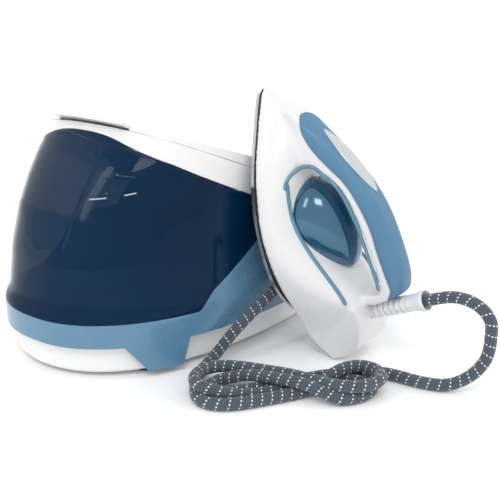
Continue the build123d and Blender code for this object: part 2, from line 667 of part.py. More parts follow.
for name, height, path in (
        ("accent_trim_upper", HANDLE_HALF - 0.5 + 1.3, [(-88, 38), (-84.5, 45), (-88.6, 58), (-96, 71), (-106, 82),
                                                        (-118, 89.2), (-135, 94.4), (-152, 98.4), (-172, 101.4),
                                                        (-187, 103.4), (-203, 105.4), (-213, 106.4)]),):
    with BuildPart() as beads:
        for v in (-height, height):
            with BuildLine(Plane.XZ.offset(-v)) as bead:
                FilletPolyline(*path, radius=4)
            with BuildSketch(Plane(origin=bead.line @ 0, z_dir=bead.line % 0)):
                Circle(1.2)
            sweep(path=bead.line)
    save(name, beads, IRON)

with BuildPart() as accent_trim_lower:
    for v in (-32.6, 32.6):
        low = [(-97, 37.3), (-131, 37.4), (-150, 40.6), (-170, 46.8), (-192.6, 57.2), (-211, 69.4), (-219, 78)]
        with BuildLine(Plane.XZ.offset(-v)) as bead:
            FilletPolyline(*low, radius=4)
        with BuildSketch(Plane(origin=bead.line @ 0, z_dir=bead.line % 0)):
            Circle(1.2)
        sweep(path=bead.line)
save("accent_trim_lower", accent_trim_lower, IRON)

# ---------------------------------------------------------------- steam hose, in the station's frame
relief_end = (STATION.inverse() * IRON * Location(RELIEF_TOP)).position
relief_out = (STATION.inverse() * IRON * Location(RELIEF_TOP + RELIEF_AXIS)).position - relief_end
print("relief end", relief_end, "direction", relief_out)


def hose(name, *points):
    """A length of hose through these points, with each corner as round as its runs allow."""
    route = [Vector(p) for p in points]
    runs = [b - a for a, b in zip(route, route[1:])]
    radii = []
    for before, after in zip(runs, runs[1:]):
        turn = radians(before.get_angle(after))
        radii.append(0.45 * min(before.length, after.length) / tan(turn / 2))
    with BuildPart() as tube:
        with BuildLine() as line:
            FilletPolyline(*route, radius=radii)
        with BuildSketch(Plane(origin=line.line @ 0, z_dir=line.line % 0)):
            Circle(HOSE_R)
        sweep(path=line.line)
    length = sum(edge.length for edge in line.line.edges())
    print(name, "length", round(length, 1), "volume/section", round(tube.part.volume / (pi * HOSE_R**2), 1),
          "runs", [round(r.length) for r in runs], "radii", [round(r) for r in radii])
    save(name, tube)


hose("hose_rise", HOSE_EXIT, (44, -141, 88), (22, -143, 80), (-3, -146, 69), (-28, -146.4, 58), (-54, -143, 45), (-78, -137, 28),
     (-98, -134, 12), (-120, -137, 6.4), (-140, -146, 6.2), (-152, -158, 6))
hose("hose_run", (-30, -261, 6), (-19, -267, 6), (-11.6, -278, 6), (-9, -292, 6), (-8.2, -308, 6), (-5, -324, 6), (2, -338, 6.6),
     (10, -349, 12), (15.6, -359, 22), (19, -366, 35), (20, -368, 48), (20, -368, 60))
hose("hose_loop", (20, -368, 60), (20, -368, 71), (20, -361, 81), (20, -349, 87), (20, -335, 88.5),
     (20, -322, 86), relief_end + relief_out * 8, relief_end - relief_out * 5)

HANK = Plane(origin=(-98, -225, 0), x_dir=(0.68, -0.73, 0), z_dir=(0, 0, 1))
with BuildPart() as hose_hank:
    with BuildSketch(HANK.offset(0.1)):
        with BuildLine():
            Spline((94, 4), (84, 27), (58, 34), (30, 29), (4, 24), (-26, 29), (-56, 35), (-84, 27), (-94, 2),
                   (-86, -24), (-60, -34), (-30, -29), (2, -24), (28, -28), (58, -34), (84, -23), periodic=True)
        make_face()
    extrude(amount=23)
    fillet(hose_hank.faces().sort_by(Axis.Z)[-1].edges(), 5)
save("hose_hank", hose_hank)
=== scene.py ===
"""Looks of the steam generator iron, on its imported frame. Lengths in the tables are millimetres."""

import math

import bmesh
import bpy
from mathutils import Matrix, Vector


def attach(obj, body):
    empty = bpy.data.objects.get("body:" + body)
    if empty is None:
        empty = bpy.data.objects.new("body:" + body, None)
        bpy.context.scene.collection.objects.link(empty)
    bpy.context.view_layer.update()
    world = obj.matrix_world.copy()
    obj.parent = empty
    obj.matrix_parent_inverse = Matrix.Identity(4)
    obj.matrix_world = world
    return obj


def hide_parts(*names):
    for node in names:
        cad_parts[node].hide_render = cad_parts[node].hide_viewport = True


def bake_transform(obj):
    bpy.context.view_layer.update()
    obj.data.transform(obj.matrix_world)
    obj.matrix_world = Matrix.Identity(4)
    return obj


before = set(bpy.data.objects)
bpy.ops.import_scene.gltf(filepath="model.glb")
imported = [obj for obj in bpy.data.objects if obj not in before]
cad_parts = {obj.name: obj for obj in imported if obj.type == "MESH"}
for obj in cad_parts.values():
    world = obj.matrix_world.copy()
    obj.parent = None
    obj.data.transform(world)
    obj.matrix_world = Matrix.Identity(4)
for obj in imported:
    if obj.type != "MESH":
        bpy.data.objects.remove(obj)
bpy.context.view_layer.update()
MM = 0.001
STATION = Vector((0, 74.4, 0))  # the station's middle


# ---------------------------------------------------------------- camera and light
def look(name, data, place, target):
    obj = bpy.data.objects.new(name, data)
    bpy.context.scene.collection.objects.link(obj)
    obj.location = place
    turn = (Vector(target) - Vector(place)).to_track_quat("-Z", "Y")
    obj.rotation_euler = turn.to_euler()
    return obj


CAMERA = Vector((-677.0, -660.06, 373.56)) + STATION
SENSOR = 36
FOCAL_RATIO = 1.7174  # focal length over sensor width
AZIMUTH, DROP = math.radians(50.32), math.radians(17.79)
aim = Vector((math.sin(AZIMUTH) * math.cos(DROP), math.cos(AZIMUTH) * math.cos(DROP), -math.sin(DROP)))
lens = bpy.data.cameras.new("camera")
lens.sensor_width, lens.lens = SENSOR, SENSOR * FOCAL_RATIO
lens.clip_start, lens.clip_end = 0.05, 60
bpy.context.scene.camera = look("camera", lens, CAMERA * MM, (CAMERA + aim * 1000) * MM)

world = bpy.data.worlds.new("studio")
bpy.context.scene.world = world
world.use_nodes = True
world.node_tree.nodes["Background"].inputs["Color"].default_value = (1.0, 1.0, 1.0, 1)
world.node_tree.nodes["Background"].inputs["Strength"].default_value = 1.02
bpy.context.scene.view_settings.view_transform = "Standard"


def softbox(name, place, target, size, power, tint=(1, 1, 1)):
    light = bpy.data.lights.new(name, "AREA")
    light.shape, light.size, light.size_y = "RECTANGLE", size[0], size[1]
    light.energy, light.color = power, tint
    return look(name, light, place, target)


softbox("key_light", (-1.55, -1.1, 2.3), (0, 0, 0.1), (0.9, 0.7), 15)
softbox("left_light", (-1.8, 0.35, 1.55), (-0.1, 0.07, 0.12), (0.35, 0.9), 5)
softbox("right_light", (1.3, -1.6, 1.1), (0, 0, 0.1), (0.9, 0.9), 5)
softbox("back_light", (0.6, 1.9, 1.5), (0, 0, 0.1), (1.4, 0.7), 8)


# ---------------------------------------------------------------- materials
def linear(*rgb):
    return tuple((c / 255 / 12.92 if c <= 10 else ((c / 255 + 0.055) / 1.055) ** 2.4) for c in rgb) + (1.0,)


MIX_A, MIX_B, MIX_OUT = 6, 7, 2  # a colour mix node's colour sockets


class Paint:
    """A Principled material with helpers that add its nodes."""

    def __init__(self, name, colour, rough=0.4, **sockets):
        self.material = bpy.data.materials.new(name)
        self.material.use_nodes = True
        self.nodes, self.links = self.material.node_tree.nodes, self.material.node_tree.links
        self.shader = self.nodes["Principled BSDF"]
        self.shader.inputs["Base Color"].default_value = linear(*colour)
        self.shader.inputs["Roughness"].default_value = rough
        for socket, value in sockets.items():
            self.shader.inputs[socket.replace("_", " ")].default_value = value
        self.base = linear(*colour)

    def node(self, kind, **values):
        node = self.nodes.new(kind)
        for key, value in values.items():
            if key in node.inputs:
                node.inputs[key].default_value = value
            else:
                setattr(node, key, value)
        return node

    def link(self, out, socket):
        self.links.new(out, socket)
        return self

    def place(self, scale=(1.0, 1.0, 1.0)):
        coords = self.node("ShaderNodeTexCoord")
        mapping = self.node("ShaderNodeMapping")
        mapping.inputs["Scale"].default_value = scale
        self.links.new(coords.outputs["Object"], mapping.inputs["Vector"])
        return mapping.outputs["Vector"]

    def noise(self, scale, detail=3.0, where=None):
        texture = self.node("ShaderNodeTexNoise", Scale=scale, Detail=detail)
        self.links.new(where or self.place(), texture.inputs["Vector"])
        return texture.outputs["Fac"]

    def range(self, value, low, high, start=0.3, end=0.7):
        node = self.node("ShaderNodeMapRange")
        for key, number in (("From Min", start), ("From Max", end), ("To Min", low), ("To Max", high)):
            node.inputs[key].default_value = number
        self.links.new(value, node.inputs["Value"])
        return node.outputs["Result"]

    def vary(self, scale=9.0, amount=0.06):
        """Slow drift of the colour over the piece, as moulded plastic has."""
        mix = self.node("ShaderNodeMix", data_type="RGBA")
        mix.inputs[MIX_A].default_value = tuple(min(1, c * (1 + amount)) for c in self.base[:3]) + (1,)
        mix.inputs[MIX_B].default_value = tuple(c * (1 - amount) for c in self.base[:3]) + (1,)
        self.links.new(self.range(self.noise(scale), 0, 1), mix.inputs[0])
        self.links.new(mix.outputs[MIX_OUT], self.shader.inputs["Base Color"])
        return self

    def rough(self, low, high, scale=60.0):
        self.links.new(self.range(self.noise(scale), low, high), self.shader.inputs["Roughness"])
        return self

    def grain(self, scale=900.0, depth=0.00003, strength=0.25, height=None):
        """Fine surface texture, in metres of depth, from its own noise or from a given height."""
        bump = self.node("ShaderNodeBump", Strength=strength, Distance=depth)
        self.links.new(height or self.noise(scale, 2.0), bump.inputs["Height"])
        self.links.new(bump.outputs["Normal"], self.shader.inputs["Normal"])
        return self


def plastic(name, colour, rough, coat=0.0, grain=0.15, drift=0.05, **more):
    paint = Paint(name, colour, rough, Coat_Weight=coat, Coat_Roughness=0.06, **more)
    return paint.vary(11.0, drift).rough(rough * 0.85, rough * 1.2, 45.0).grain(700.0, 0.00004, grain)


WHITE = plastic("white_gloss_plastic", (220, 220, 221), 0.30, 0.25, 0.06, 0.012)
PAN = plastic("pan_plastic", (232, 232, 232), 0.38, 0.1, 0.12, 0.012)
SHELL = plastic("light_blue_plastic", (84, 128, 158), 0.26, 0.4, 0.06, 0.05)
HANDLE = plastic("handle_blue_plastic", (74, 120, 152), 0.42, 0.0, 0.30, 0.05)
TRIM = plastic("trim_blue_plastic", (76, 128, 152), 0.14, 0.9, 0.03, 0.12)
DOME = plastic("dome_blue_plastic", (30, 92, 124), 0.16, 1.0, 0.02, 0.25, Metallic=0.4)
BLACK = plastic("black_plastic", (22, 22, 24), 0.5, 0.0, 0.35, 0.1)
PANEL = plastic("panel_blue_plastic", (26, 44, 70), 0.14, 0.9, 0.02, 0.05)
LENS = plastic("lens_plastic", (176, 226, 180), 0.12, 0.8, 0.02, 0.05)
BUTTON = plastic("button_plastic", (214, 216, 218), 0.34, 0.2, 0.10, 0.03)
INSERT = plastic("insert_grey_plastic", (186, 187, 188), 0.22, 0.6, 0.05, 0.04)
RELIEF = plastic("relief_plastic", (222, 223, 225), 0.40, 0.05, 0.10, 0.02)
# Pale teal of the tank's inner duct and rib; also the colour of a painted window reflection inside the tank.
DUCT_AND_REFLECTION = plastic("duct_and_reflection_teal", (150, 196, 206), 0.30, 0.3, 0.05, 0.06)
MARK = plastic("mark_print", (168, 178, 176), 0.50, 0.0, 0.05, 0.02)
BOARD = plastic("board_green", (20, 78, 44), 0.35, 0.3, 0.20, 0.10)
RUBBER = plastic("foot_rubber", (34, 34, 36), 0.75, 0.0, 0.60, 0.10)
MAT = plastic("silicone_mat", (92, 97, 103), 0.62, 0.0, 0.50, 0.05)
TUBE = plastic("silicone_tube", (196, 194, 184), 0.35, 0.2, 0.10, 0.05)
METAL = Paint("sole_metal", (196, 198, 202), 0.18, Metallic=1.0).vary(30, 0.04).rough(0.14, 0.26, 25)
METAL.grain(depth=0.00002, strength=0.25, height=METAL.noise(400, 2, METAL.place((1, 1, 30))))
CAST = Paint("cast_aluminium", (150, 150, 152), 0.5, Metallic=1.0).vary(60, 0.1).rough(0.4, 0.65, 60)
CAST.grain(500, 0.0002, 0.5)
STEEL = Paint("brushed_steel", (170, 170, 172), 0.3, Metallic=1.0).vary(40, 0.05).rough(0.24, 0.42, 90)
STEEL.grain(depth=0.00003, strength=0.3, height=STEEL.noise(300, 2, STEEL.place((1, 1, 40))))
HOT = Paint("element_steel", (104, 92, 86), 0.4, Metallic=1.0).vary(50, 0.25).rough(0.3, 0.5, 60)
HOT.grain(400, 0.0001, 0.3)
BRASS = Paint("machined_brass", (196, 164, 96), 0.28, Metallic=1.0).vary(50, 0.06).rough(0.2, 0.36, 80)
BRASS.grain(600, 0.0001, 0.2)

TANK = Paint("tank_plastic", (6, 42, 72), 0.05, Coat_Weight=0.06, Coat_Roughness=0.02,
             Specular_IOR_Level=0.12)
TANK.vary(8.0, 0.22).rough(0.03, 0.06, 20.0).grain(12.0, 0.0003, 0.02)
TANK.shader.inputs["Alpha"].default_value = 0.64
INNER = Paint("tank_inner_plastic", (14, 32, 58), 0.2, Coat_Weight=0.4).vary(10, 0.2).rough(0.15, 0.3, 30)
INNER.grain(60, 0.0002, 0.1)

FLOOR = Paint("pale_floor", (255, 255, 255), 0.9).vary(0.8, 0.004)


def braid():
    """Woven sleeve: a slate weave and white tracer threads that show as pairs of flecks along a helix."""
    paint = Paint("hose_braid", (66, 79, 92), 0.72, Sheen_Weight=0.25)
    coords = paint.node("ShaderNodeTexCoord")
    split = paint.node("ShaderNodeSeparateXYZ")
    paint.link(coords.outputs["UV"], split.inputs["Vector"])
    along, around = split.outputs["X"], split.outputs["Y"]

    def calc(operation, a, b=None):
        node = paint.node("ShaderNodeMath", operation=operation)
        for i, value in enumerate((a, b)):
            if value is None:
                continue
            if isinstance(value, (int, float)):
                node.inputs[i].default_value = value
            else:
                paint.link(value, node.inputs[i])
        return node.outputs[0]

    def wave(pitch, starts):
        """One set of threads that winds round the sleeve."""
        along_phase = calc("MULTIPLY", along, 2 * math.pi / pitch)
        around_phase = calc("MULTIPLY", around, 2 * math.pi * starts)
        return calc("SINE", calc("ADD", along_phase, around_phase))

    thread_pitch, tracer_pitch, dash_pitch = 0.0046, 0.0098, 0.030
    threads, half_width, gap = 10, 0.062, 0.52
    right, left = wave(thread_pitch, threads), wave(thread_pitch, -threads)
    weave = calc("MULTIPLY", right, left)
    turns = calc("ADD", calc("MULTIPLY", along, 1 / tracer_pitch), calc("MULTIPLY", around, 1.0))
    helix = calc("FRACT", turns)
    near = calc("LESS_THAN", calc("ABSOLUTE", calc("SUBTRACT", helix, 0.5)), half_width)
    steps = calc("SUBTRACT", calc("MULTIPLY", around, 10.0), calc("MULTIPLY", along, 1 / dash_pitch))
    dash = calc("GREATER_THAN", calc("FRACT", steps), gap)
    fleck = calc("MULTIPLY", near, dash)
    tone = paint.range(weave, 0.62, 1.25, -1, 1)
    tint = paint.node("ShaderNodeMix", data_type="RGBA", blend_type="MULTIPLY")
    tint.inputs[0].default_value = 1.0
    tint.inputs[MIX_A].default_value = paint.base
    grey = paint.node("ShaderNodeCombineColor")
    shade = calc("MULTIPLY", tone, paint.range(paint.noise(14.0), 0.9, 1.1))
    for channel in ("Red", "Green", "Blue"):
        paint.link(shade, grey.inputs[channel])
    paint.link(grey.outputs["Color"], tint.inputs[MIX_B])
    mix = paint.node("ShaderNodeMix", data_type="RGBA")
    mix.inputs[MIX_B].default_value = linear(236, 238, 240)
    paint.link(fleck, mix.inputs[0]).link(tint.outputs[MIX_OUT], mix.inputs[MIX_A])
    paint.link(mix.outputs[MIX_OUT], paint.shader.inputs["Base Color"])
    return paint.grain(depth=0.0004, strength=0.7, height=calc("ADD", weave, calc("MULTIPLY", fleck, 1.5)))


BRAID = braid()

NODE_PAINT = {
    "bottom_pan": PAN, "rubber_feet": RUBBER, "pan_screws": STEEL, "tank_seat": INNER, "rest_mat": MAT,
    "lid_pin": STEEL, "water_coupler": BLACK, "water_pump": BLACK, "suction_tube": TUBE, "feed_tube": TUBE,
    "boiler": STEEL, "boiler_heater": HOT, "steam_valve": BRASS, "steam_tube": TUBE, "control_board": BOARD,
    "tact_switches": BLACK, "control_panel": PANEL, "indicator_lenses": LENS, "hose_outlet": RELIEF,
    "mains_cord_gland": RUBBER, "tank_cap": INNER, "tank_valve": BLACK, "valve_spring": STEEL,
    "valve_poppet": RUBBER, "power_button": BUTTON, "steam_button": BUTTON, "eco_button": BUTTON,
    "soleplate": METAL, "heater_block": CAST, "heater_element": HOT, "thermostat": BRASS,
    "heat_shield": BLACK,
    "trigger_pin": STEEL, "micro_switches": BLACK, "iron_screws": STEEL, "steam_trigger": HANDLE,
    "base_shell": SHELL, "tank_shell": TANK, "deck_frame": WHITE, "iron_platform": WHITE, "filler_lid": WHITE,
    "iron_skirt": WHITE, "body_dome": DOME, "accent_trim_upper": TRIM, "accent_trim_lower": TRIM,
    "handle_core": WHITE, "handle_cover": HANDLE, "heel_cover": WHITE, "hose_relief": RELIEF,
    "thumb_button": INSERT,
    "hose_rise": BRAID, "hose_hank": BRAID, "hose_run": BRAID, "hose_loop": BRAID,
}
for name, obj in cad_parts.items():
    for material_slot in obj.material_slots:
        material_slot.link = "OBJECT"
        material_slot.material = NODE_PAINT[name].material


# ---------------------------------------------------------------- mesh helpers
def piece(name, verts, faces, paint, body, replaced=(), smooth=True, uvs=None):
    """A mesh piece in metres that rides on a body and stands for CAD nodes."""
    mesh = bpy.data.meshes.new(name)
    mesh.from_pydata([tuple(v) for v in verts], [], faces)
    mesh.validate()
    if uvs:
        layer = mesh.uv_layers.new(name="UVMap")
        for loop in mesh.loops:
            layer.data[loop.index].uv = uvs[loop.index]
    mesh.materials.append(paint.material)
    if smooth:
        mesh.shade_smooth()
    obj = bpy.data.objects.new(name, mesh)
    bpy.context.scene.collection.objects.link(obj)
    if body:
        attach(obj, body)
    if replaced:
        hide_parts(*replaced)
    return obj


def apply(obj):
    """Applies every modifier of a piece."""
    graph = bpy.context.evaluated_depsgraph_get()
    mesh = bpy.data.meshes.new_from_object(obj.evaluated_get(graph))
    old = obj.data
    obj.modifiers.clear()
    obj.data = mesh
    mesh.name = obj.name
    bpy.data.meshes.remove(old)
    mesh.shade_smooth()
    return obj


def thicken(obj, depth, bevel=0.0, offset=-1.0):
    """Gives a sheet a depth and, where asked, rounds its sharp edges; both in millimetres."""
    shell = obj.modifiers.new("shell", "SOLIDIFY")
    shell.thickness, shell.offset, shell.use_even_offset = depth * MM, offset, True
    if bevel:
        edge = obj.modifiers.new("edge", "BEVEL")
        edge.width, edge.segments, edge.limit_method = bevel * MM, 3, "ANGLE"
        edge.angle_limit = math.radians(40)
        edge.harden_normals = False
    return apply(obj)


def soft_edges(obj, angle):
    """Shades edges smooth up to an angle in degrees."""
    obj.data.set_sharp_from_angle(angle=math.radians(angle))
    return obj


def curve(table, x):
    """Straight interpolation in a table of points."""
    if x <= table[0][0]:
        return table[0][1]
    for (x0, y0), (x1, y1) in zip(table, table[1:]):
        if x <= x1:
            return y0 + (y1 - y0) * (x - x0) / (x1 - x0)
    return table[-1][1]


def eased(table, x):
    """A smooth curve through a table of points (Catmull-Rom)."""
    if x <= table[0][0]:
        return table[0][1]
    if x >= table[-1][0]:
        return table[-1][1]
    for i in range(len(table) - 1):
        (x0, y0), (x1, y1) = table[i], table[i + 1]
        if x <= x1:
            before = table[i - 1] if i else table[i]
            after = table[i + 2] if i + 2 < len(table) else table[i + 1]
            m0 = (y1 - before[1]) / (x1 - before[0]) * (x1 - x0)
            m1 = (after[1] - y0) / (after[0] - x0) * (x1 - x0)
            t = (x - x0) / (x1 - x0)
            return ((2 * t**3 - 3 * t**2 + 1) * y0 + (t**3 - 2 * t**2 + t) * m0
                    + (-2 * t**3 + 3 * t**2) * y1 + (t**3 - t**2) * m1)


# ---------------------------------------------------------------- the station's form
HALF_LENGTH, HALF_WIDTH, POWER = 218.0, 132.0, 2.32  # a superellipse in plan
BAND_TOP = 58.0  # under this height the front end is upright
LEAN_IN, LEAN_FROM, LEAN_SPAN = 10, 60, 165  # how far the flanks lean in, from what height, over what height
FRONT_SLOPE = 0.1
WALL = 2.6
REAR = [(0, 218), (58, 218), (70, 210.5), (112, 204), (150, 192), (178, 177), (200, 162), (226, 139),
        (252, 116)]
TANK_TOP = [(-175, 262.0), (-140, 236), (-137.5, 229), (-134, 219), (-126, 210.5), (-112, 202), (-90, 189.5),
            (-62, 176), (-31, 162.5), (12, 143)]
SEAM = [(-150, 245), (-127, 233), (-116, 228), (-86, 214), (-28, 190), (90, 149), (240, 97)]


def form(angle, z, inset=0.0):
    """A point of the station's outer form at a plan angle and a height."""
    half_width = HALF_WIDTH - inset - LEAN_IN * max(0.0, (z - LEAN_FROM) / LEAN_SPAN) ** 1.4
    front = HALF_LENGTH - inset - FRONT_SLOPE * max(0.0, z - BAND_TOP)
    back = curve(REAR, z) - inset
    c, s = math.cos(angle), math.sin(angle)
    x = math.copysign(abs(c) ** (2 / POWER), c) * (front if c > 0 else back)
    y = math.copysign(abs(s) ** (2 / POWER), s) * half_width
    return Vector((x, y, z))


def height_at(angle, table):
    """The height where the form's wall at this plan angle meets a smooth side curve."""
    z = 150.0
    for _ in range(40):
        z = 0.5 * z + 0.5 * eased(table, form(angle, z).x)
    return z


def line_height(angle, table):
    """The height where the form's wall at this plan angle meets a side line of straight stretches."""
    z = 100.0
    for _ in range(60):
        z = 0.6 * z + 0.4 * curve(table, form(angle, z).x)
    return z


def wall_angle(x, z):
    """The plan angle on the near flank where the wall is at station x."""
    low, high = math.pi, 1.5 * math.pi
    for _ in range(40):
        middle = (low + high) / 2
        if form(middle, z).x < x:
            low = middle
        else:
            high = middle
    return (low + high) / 2


def even_angles(count):
    """Plan angles at even steps along the outline, more at the ends where it turns."""
    fine = [2 * math.pi * i / 4000 for i in range(4001)]
    walk = [0.0]
    points = [form(a, 100) for a in fine]
    for a, b in zip(points, points[1:]):
        walk.append(walk[-1] + (b - a).length)
    result, j = [], 0
    for i in range(count):
        while walk[j + 1] < walk[-1] * i / count:
            j += 1
        result.append(fine[j])
    return result


def band(name, low, high, rows, paint, body, replaced, bevel, count=220, span=None, bulge=None):
    """A stretch of the station's wall between two heights, given for each plan angle."""
    if span is None:
        angles = even_angles(count)
    else:
        angles = [span[0] + (span[1] - span[0]) * i / count for i in range(count + 1)]
    verts, faces = [], []
    for a in angles:
        z0, z1 = low(a), high(a)
        for k in range(rows + 1):
            z = z0 + (z1 - z0) * k / rows
            point = form(a, z, -bulge(z) if bulge else 0.0)
            verts.append((point + STATION) * MM)
    columns = len(angles)
    for i in range(columns if span is None else columns - 1):
        j = (i + 1) % columns
        for k in range(rows):
            a, b = i * (rows + 1) + k, j * (rows + 1) + k
            faces.append((a, b, b + 1, a + 1))
    obj = piece(name, verts, faces, paint, body, replaced)
    return soft_edges(thicken(obj, WALL, bevel), 50)


TANK_LOW = [(-230, 58.4), (-104, 58.4), (-86, 77), (12, 139)]
SHELL_TOP = [(-230, 58.0), (-103, 58.0), (-85, 77), (12.8, 138), (240, 81)]
SHELL_LOW = [(-175.4, 34), (-156, 6), (-123, 6), (-115.6, 34), (115.6, 34), (123, 6), (156, 6), (175.4, 34)]
DECK_LOW = [(12, 138.8), (240, 81.8)]
BEAD, BEAD_HEIGHT, BEAD_SPREAD = 0.9, 63.0, 4.0  # the tank's wall swells a little round this height
TANK_FRONT = math.acos((13.0 / 205.0) ** (POWER / 2))  # plan angle of the tank's front top corner


def deck_low(angle):
    """Lower edge of the deck's wall: over the tank at the rear, over the base shell at the front."""
    x = form(angle, 150).x
    over_tank = height_at(angle, TANK_TOP) + 0.8 if x < 14 else 0
    over_shell = line_height(angle, DECK_LOW) if x > 10 else 0
    return max(over_tank, over_shell)


band("tank_wall", lambda a: line_height(a, TANK_LOW), lambda a: height_at(a, TANK_TOP), 34,
     TANK, "tank", ["tank_shell"], 0.4, count=240, span=(TANK_FRONT, 2 * math.pi - TANK_FRONT),
     bulge=lambda z: BEAD * math.exp(-((z - BEAD_HEIGHT) / BEAD_SPREAD) ** 2))
band("shell_wall", lambda a: line_height(a, SHELL_LOW), lambda a: line_height(a, SHELL_TOP), 12,
     SHELL, "station", ["base_shell"], 0.7, count=420)
band("deck_wall", deck_low, lambda a: height_at(a, SEAM), 6,
     WHITE, "station", ["deck_frame"], 0.6)


def inner_sheet(name, points, faces):
    """A thin sheet behind the tank's wall."""
    verts = [(point + STATION) * MM for point in points]
    thicken(piece(name, verts, faces, DUCT_AND_REFLECTION, "tank", smooth=False), 0.8)


def tank_contents():
    """What shows through the tank, and a pale patch that paints a window's reflection on it, as corners at a
    plan angle in degrees and a height.
    """
    duct = [(153, 154), (172, 155), (191, 155), (190, 141), (186, 124), (178, 118), (164, 131)]
    # A pale patch behind the tank's wall that paints the reflection of a window; it is not a part inside the
    # tank.
    reflection_patch = [(199, 191), (212, 189), (210, 169), (195.6, 161)]
    corner_inset, middle_inset = 5.0, 3.6
    for name, corners in (("tank_duct", duct), ("tank_window_reflection", reflection_patch)):
        count = len(corners)
        points = [form(math.radians(a), z, corner_inset) for a, z in corners]
        middle = math.radians(sum(a for a, z in corners) / count), sum(z for a, z in corners) / count
        points.append(form(*middle, middle_inset))
        inner_sheet(name, points, [(k, (k + 1) % count, count) for k in range(count)])
    rib = [(191, 222), (192.6, 222), (194.2, 189), (193, 158), (190.8, 124), (189.3, 124), (191.4, 158),
           (192.6, 189)]
    inner_sheet("tank_rib", [form(math.radians(a), z, corner_inset) for a, z in rib],
                [(0, 1, 2, 7), (7, 2, 3, 6), (6, 3, 4, 5)])


def level_mark():
    """The two plain dashes on the tank's near flank."""
    verts, faces = [], []
    for start, end in ((0.0, 0.30), (0.70, 1.0)):
        base = len(verts)
        for k in range(5):
            t = start + (end - start) * k / 4
            x = -172 + 27 * t
            z = 173 + 6.5 * t
            a = wall_angle(x, z)
            for dz in (-0.55, 0.55):
                verts.append((form(a, z + dz, -0.95) + STATION) * MM)
                verts.append((form(a, z + dz, -0.35) + STATION) * MM)
        for k in range(4):
            i = base + 4 * k
            faces += [(i, i + 4, i + 6, i + 2), (i + 1, i + 3, i + 7, i + 5), (i, i + 1, i + 5, i + 4),
                      (i + 2, i + 6, i + 7, i + 3)]
        last = len(verts) - 4
        faces += [(base, base + 2, base + 3, base + 1), (last, last + 1, last + 3, last + 2)]
    piece("level_mark", verts, faces, MARK, "tank", smooth=False)


def tank_underside():
    """The tank's floor and sloping front, across from one flank to the other."""
    stops = [(-216 + 7 * k, 58.4) for k in range(17)]
    stops += [(-95, 67.7), (-86, 77), (-61.5, 92.5), (-37, 108), (-12.5, 123.5), (11, 138.4)]
    columns = 13
    verts, faces = [], []
    for x, z in stops:
        half = abs(form(wall_angle(min(x, -0.5), z), z, 1.4).y)
        for k in range(columns):
            verts.append((Vector((x, half * (1 - 2 * k / (columns - 1)), z + 0.3)) + STATION) * MM)
    for i in range(len(stops) - 1):
        for k in range(columns - 1):
            a = columns * i + k
            faces.append((a, a + columns, a + columns + 1, a + 1))
    sheet = piece("tank_underside", verts, faces, TANK, "tank", ["tank_shell"])
    soft_edges(thicken(sheet, 2.2, offset=0.0), 25)


tank_contents()
level_mark()
tank_underside()


# ---------------------------------------------------------------- the iron
LEAN, YAW, ROLL = math.radians(14), math.radians(2), math.radians(4)
across = Vector((-math.cos(YAW), -math.sin(YAW), 0))
inward = Vector((-math.sin(YAW), math.cos(YAW), 0))
iron_w = Vector((0, 0, 1)) * math.sin(LEAN) - inward * math.cos(LEAN)
upright = inward * math.sin(LEAN) + Vector((0, 0, 1)) * math.cos(LEAN)
iron_u = upright * math.cos(ROLL) + across * math.sin(ROLL)
iron_v = iron_w.cross(iron_u)
TIP = Vector((-2.7, -113.1, 264.9)) + STATION


def at_iron(u, v, w):
    """From the iron's own axes in mm to the object's frame in metres."""
    return (TIP + iron_u * u + iron_v * v + iron_w * w) * MM


def from_iron(points):
    return [at_iron(*p) for p in points]


# Against the distance from the tip, which is negative: the white body's half width and height, and the
# top and lower edge of the handle's cover.
HALF = [(-249, 31), (-236, 36), (-219, 45), (-192, 55), (-155, 60.8), (-123, 59.5), (-78, 47), (-35, 25.5),
        (-12, 13), (-3, 6), (0.5, 0.3)]
CROWN = [(-252, 70), (-236, 76), (-221, 78), (-212, 75), (-192, 63), (-169, 50), (-149, 41.5), (-131, 37.5),
         (-110, 37.5), (-92, 40), (-60, 46), (-34, 41.5), (-18, 27.5), (-6, 14.5), (0.5, 8.2)]
TOP = [(-223, 105), (-220, 115), (-212, 120), (-201, 123), (-184, 123), (-161, 120), (-140, 116), (-119, 109),
       (-98, 99), (-78, 87), (-59, 72), (-32, 46), (-16, 27), (0, 8)]
EDGE = [(-223, 104), (-214, 111), (-194, 108), (-172, 105), (-151, 103), (-132, 98), (-113, 91), (-99, 83),
        (-86, 72), (-69, 59), (-52, 51), (-37, 49), (-31, 45)]
# The opening under the handle, from its rear foot over to its front foot.
GRIP = [(-216, 76), (-217, 93), (-213, 99), (-203, 99), (-187, 97), (-172, 95), (-152, 92), (-135, 88),
        (-118, 83), (-105, 76), (-96, 67), (-88, 56), (-83, 45), (-83, 30)]
SKIRT_LOW = 5.4
COVER_HALF, COVER_POWER = 17.6, 2.5


def body_w(u, v):
    """Height of the white body's outer surface over a point of the sole plane."""
    half = eased(HALF, u) + 0.01
    t = min(1.0, abs(v) / half)
    n = 1.55 + 0.6 * max(0.0, min(1.0, (-u - 50) / 55)) + 0.9 * max(0.0, min(1.0, (-u - 140) / 80))
    return SKIRT_LOW + (eased(CROWN, u) - SKIRT_LOW) * (1 - t**n) ** (1 / n)


def skirt_solid(verts, faces):
    """Adds the white mass over the sole, closed underneath."""
    stations = [0.3, -1.5, -4, -8, -13, -20, -28] + [-36 - 6 * i for i in range(36)]
    sides = 28
    base = len(verts)
    for u in stations:
        half = eased(HALF, u)
        for k in range(sides + 1):
            v = half * math.cos(math.pi * k / sides)
            verts.append((u, v, body_w(u, v)))
        verts.append((u, 0, SKIRT_LOW))
    ring = sides + 2
    for i in range(len(stations) - 1):
        for k in range(ring):
            a, b = base + i * ring + k, base + i * ring + (k + 1) % ring
            faces.append((a, a + ring, b + ring, b))
    faces.append([base + k for k in range(ring)])
    faces.append([base + (len(stations) - 1) * ring + k for k in reversed(range(ring))])


